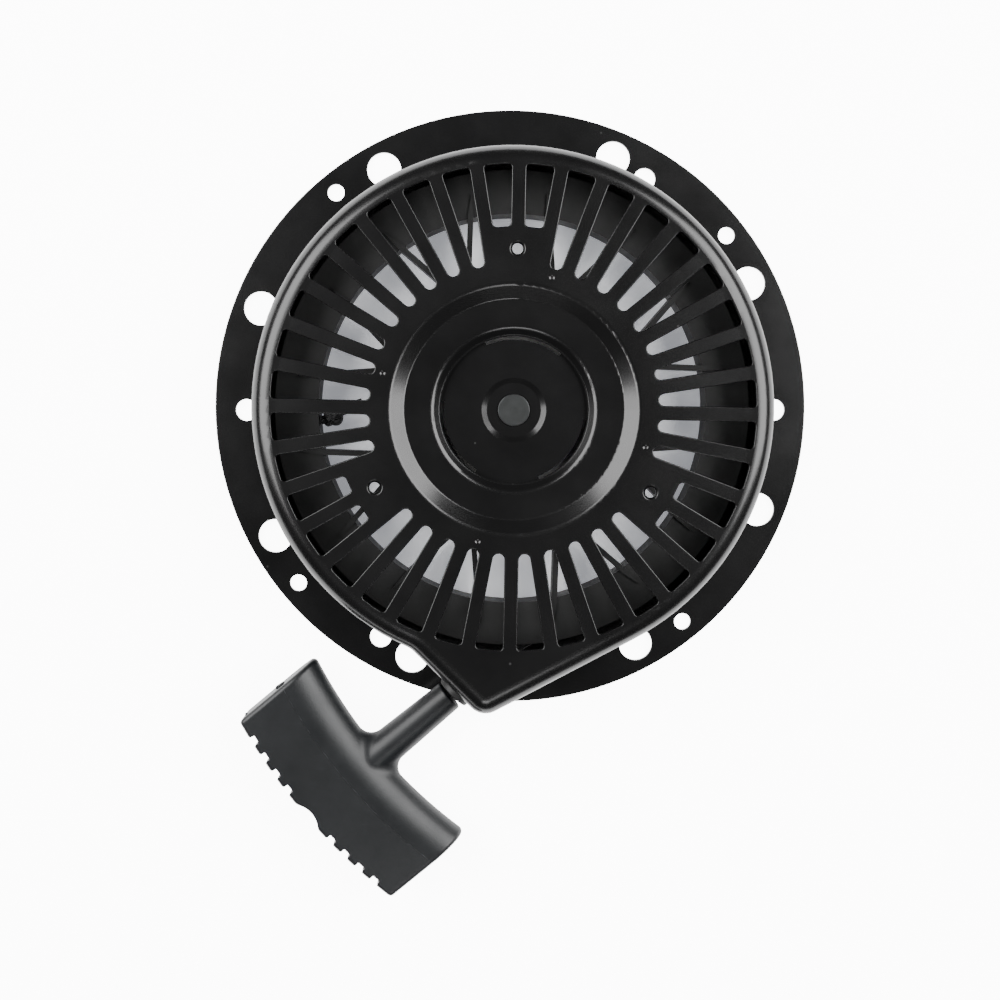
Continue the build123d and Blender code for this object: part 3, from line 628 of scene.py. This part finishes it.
def spread(points, spacing):
    """Points at an even spacing along a smooth curve through the given ones."""
    fine = []
    for index in range(len(points) - 1):
        before = points[max(index - 1, 0)]
        here, there = points[index], points[index + 1]
        after = points[min(index + 2, len(points) - 1)]
        count = max(2, math.ceil((there - here).length / spacing))
        for step in range(count):
            t = step / count
            fine.append(0.5 * (2 * here + (there - before) * t
                               + (2 * before - 5 * here + 4 * there - after) * t * t
                               + (3 * here - before - 3 * there + after) * t**3))
    fine.append(points[-1])
    return fine


wound = rope_mesh("wound_rope", spread(wound_points(), 1.2 * MM), 16, 0.1 * MM)
wound.data.materials.append(braided_by_uv)
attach(wound, "pulley")
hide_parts("rope_wound")

tangent_az = math.degrees(math.atan2(eyelet_centre.y, eyelet_centre.x)) + math.degrees(
    math.acos(GROOVE_LINE / eyelet_centre.xy.length))
leave = compass(GROOVE_LINE, tangent_az, HIGH_STRAND)
ROPE_IN_HANDLE = 68.5
knot_seat = eyelet_centre + pull * (STEM_GAP + ROPE_IN_HANDLE) * MM
to_groove = (leave - eyelet_centre).normalized()
pull_line = [leave]
pull_line += [eyelet_centre + to_groove * distance * MM for distance in (40, 6)]
pull_line += [eyelet_centre + pull * distance * MM for distance in (1.5, 6)]
pull_line += [knot_seat - pull * 30 * MM, knot_seat]
pull_rope = rope_mesh("pull_rope", spread(pull_line, 0.45 * MM), 32, 0.28 * MM)
pull_rope.data.materials.append(braided_straight)
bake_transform(pull_rope)
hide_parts("rope_lead", "rope_tail")


# ---------------------------------------------------------------- knots
# Each end of the rope is tied in an overhand knot, pulled down hard, with a short melted tail.

CURVE_STEPS = 36
KNOT_HEIGHT = 0.42


def overhand(centre, axis, size, lead, tail):
    """Points of an overhand knot, a trefoil curve left open, between its lead and its tail."""
    side = axis.orthogonal().normalized()
    up = axis.cross(side)
    turns = []
    for step in range(3, 34):
        t = 2 * math.pi * step / CURVE_STEPS
        x = math.sin(t) + 2 * math.sin(2 * t)
        y = math.cos(t) - 2 * math.cos(2 * t)
        z = -math.sin(3 * t)
        turns.append(centre + (side * x + axis * y) * size / 3 + up * z * size * KNOT_HEIGHT)
    return [lead] + turns + [tail]


KNOT_SIDES = 28
KNOT_SPACING, KNOT_RELIEF = 0.5 * MM, 0.26 * MM

knot_middle = compass(83.6 * MM, 182.5, ROPE_Z)
knot_lead = compass(90.5 * MM, KNOT_AZ, ROPE_Z)
knot_tail = compass(69.5 * MM, 176.8, ROPE_Z + 1.5 * MM)
knot_line = overhand(knot_middle, compass(1, KNOT_AZ, 0), 3.0 * MM, knot_lead, knot_tail)
rim_knot = rope_mesh("rim_knot", spread(knot_line, KNOT_SPACING), KNOT_SIDES, KNOT_RELIEF)
rim_knot.data.materials.append(braided_by_uv)
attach(rim_knot, "pulley")
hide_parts("rope_knot_pulley")

grip_knot_middle = knot_seat + pull * 4.5 * MM
grip_knot_tail = grip_knot_middle + pull * 9 * MM + Vector((0, 0, 1.5 * MM))
grip_knot_line = overhand(
    grip_knot_middle, -pull, 2.3 * MM, knot_seat - pull * 0.5 * MM, grip_knot_tail)
grip_knot = rope_mesh("grip_knot", spread(grip_knot_line, KNOT_SPACING), KNOT_SIDES, KNOT_RELIEF)
grip_knot.data.materials.append(braided_by_uv)
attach(grip_knot, "handle")
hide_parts("rope_knot_handle")


# ---------------------------------------------------------------- table and light
# A white light table. Under the cup its glow is turned down as painted shade, and under the
# cup's wall lies a ring of painted shadow, dark and without glow. It glows for the camera and
# only faintly for the object. A soft box stands at the left and at the right, and a small weak
# one in front. Straight overhead it is dark.

TABLE_SIZE, TABLE_DROP = 8.0, 0.3 * MM
# radii where the painted shadow ring under the cup's wall begins and where it is full
SHADOW_RING_INNER, SHADOW_RING_FULL = 103.0 * MM, 108.0 * MM
# radii where the painted shade under the cup gives way to the full glow
GLOW_INNER, GLOW_FULL = 117.5 * MM, 119.0 * MM


def table():
    """The white light table under the object, with painted shade under the cup and a ring of
    painted shadow under its wall.
    """
    bpy.ops.mesh.primitive_plane_add(size=TABLE_SIZE, location=(0, 0, -TABLE_DROP))
    top = bpy.context.object
    top.name = "table"
    made, tree, shader = material("white_table", Roughness=0.9, Specular_IOR_Level=0.1)
    point = place(tree)
    tone = put(tree, "TexNoise", Vector=point, Scale=3.0, Detail=2.0)
    white = mix(tree, tone.outputs[0], grey(0.9), grey(0.92))
    from_axis = put(tree, "VectorMath", {"operation": "LENGTH"}, i0=point)
    # full glow only outside the cup's wall; inside it the table is painted dim as shade
    glow_outside_painted_shade = ramp(tree, from_axis.outputs["Value"], GLOW_INNER, GLOW_FULL, 0.0, 1.0)
    # a dark ring painted on the table under the cup's wall, with no glow: a painted shadow
    painted_shadow_ring = put(tree, "Math", {"operation": "SUBTRACT"},
               i0=ramp(tree, from_axis.outputs["Value"], SHADOW_RING_INNER, SHADOW_RING_FULL, 0.0, 1.0), i1=glow_outside_painted_shade)
    feed(tree, shader, "Base Color", mix(tree, painted_shadow_ring.outputs[0], white, grey(0.06)))
    seen = put(tree, "LightPath").outputs["Is Camera Ray"]
    # under the cup the glow the object gets and the grey the camera sees are both turned down:
    # painted shade
    sideways = mix(tree, glow_outside_painted_shade, (0.02, 0.0205, 0.022, 1), grey(0.16))
    straight = mix(tree, glow_outside_painted_shade, (0.03, 0.031, 0.0335, 1), grey(1))
    lit = mix(tree, seen, sideways, straight)
    # the painted shadow ring gets no glow
    feed(tree, shader, "Emission Color", mix(tree, painted_shadow_ring.outputs[0], lit, grey(0)))
    shader.inputs["Emission Strength"].default_value = 10.0
    top.data.materials.append(made)


table()


def soft_box(name, azimuth, elevation, distance, width, height, power):
    """A rectangular soft box aimed at the object."""
    lamp = bpy.data.lights.new(name, "AREA")
    lamp.shape = "RECTANGLE"
    lamp.size, lamp.size_y, lamp.energy = width, height, power
    holder = bpy.data.objects.new(name, lamp)
    turn, rise = math.radians(azimuth), math.radians(elevation)
    holder.location = Vector((math.cos(turn) * math.cos(rise), math.sin(turn) * math.cos(rise),
                              math.sin(rise))) * distance
    holder.rotation_euler = (-holder.location).to_track_quat("-Z", "Y").to_euler()
    bpy.context.scene.collection.objects.link(holder)


soft_box("soft_box_right", azimuth=16, elevation=45, distance=1.5,
         width=1.3, height=1.0, power=44)
soft_box("soft_box_left", azimuth=162, elevation=45, distance=1.5,
         width=1.3, height=1.0, power=42)
soft_box("soft_box_front", azimuth=270, elevation=50, distance=1.8,
         width=0.8, height=0.4, power=7)

world = bpy.data.worlds.new("studio")
world.use_nodes = True
background = world.node_tree.nodes["Background"]
background.inputs["Color"].default_value = grey(1)
background.inputs["Strength"].default_value = 0.03
bpy.context.scene.world = world


# ---------------------------------------------------------------- camera
# It looks almost straight down from 0.66 m, with +Y up in the picture.

lens = bpy.data.cameras.new("camera")
lens.lens, lens.sensor_width = 50.0, 36.0
lens.clip_start = 0.01
camera = bpy.data.objects.new("camera", lens)
bpy.context.scene.collection.objects.link(camera)
stand = Vector((-21.5, 1.7, 661.0)) * MM
aim = Vector((-5.4, -42.9, 0.0)) * MM
back = (stand - aim).normalized()
right = Vector((0, 1, 0)).cross(back).normalized()
facing = Matrix((right, back.cross(right), back)).transposed().to_4x4()
camera.matrix_world = Matrix.Translation(stand) @ facing
bpy.context.scene.camera = camera

bpy.context.view_layer.update()
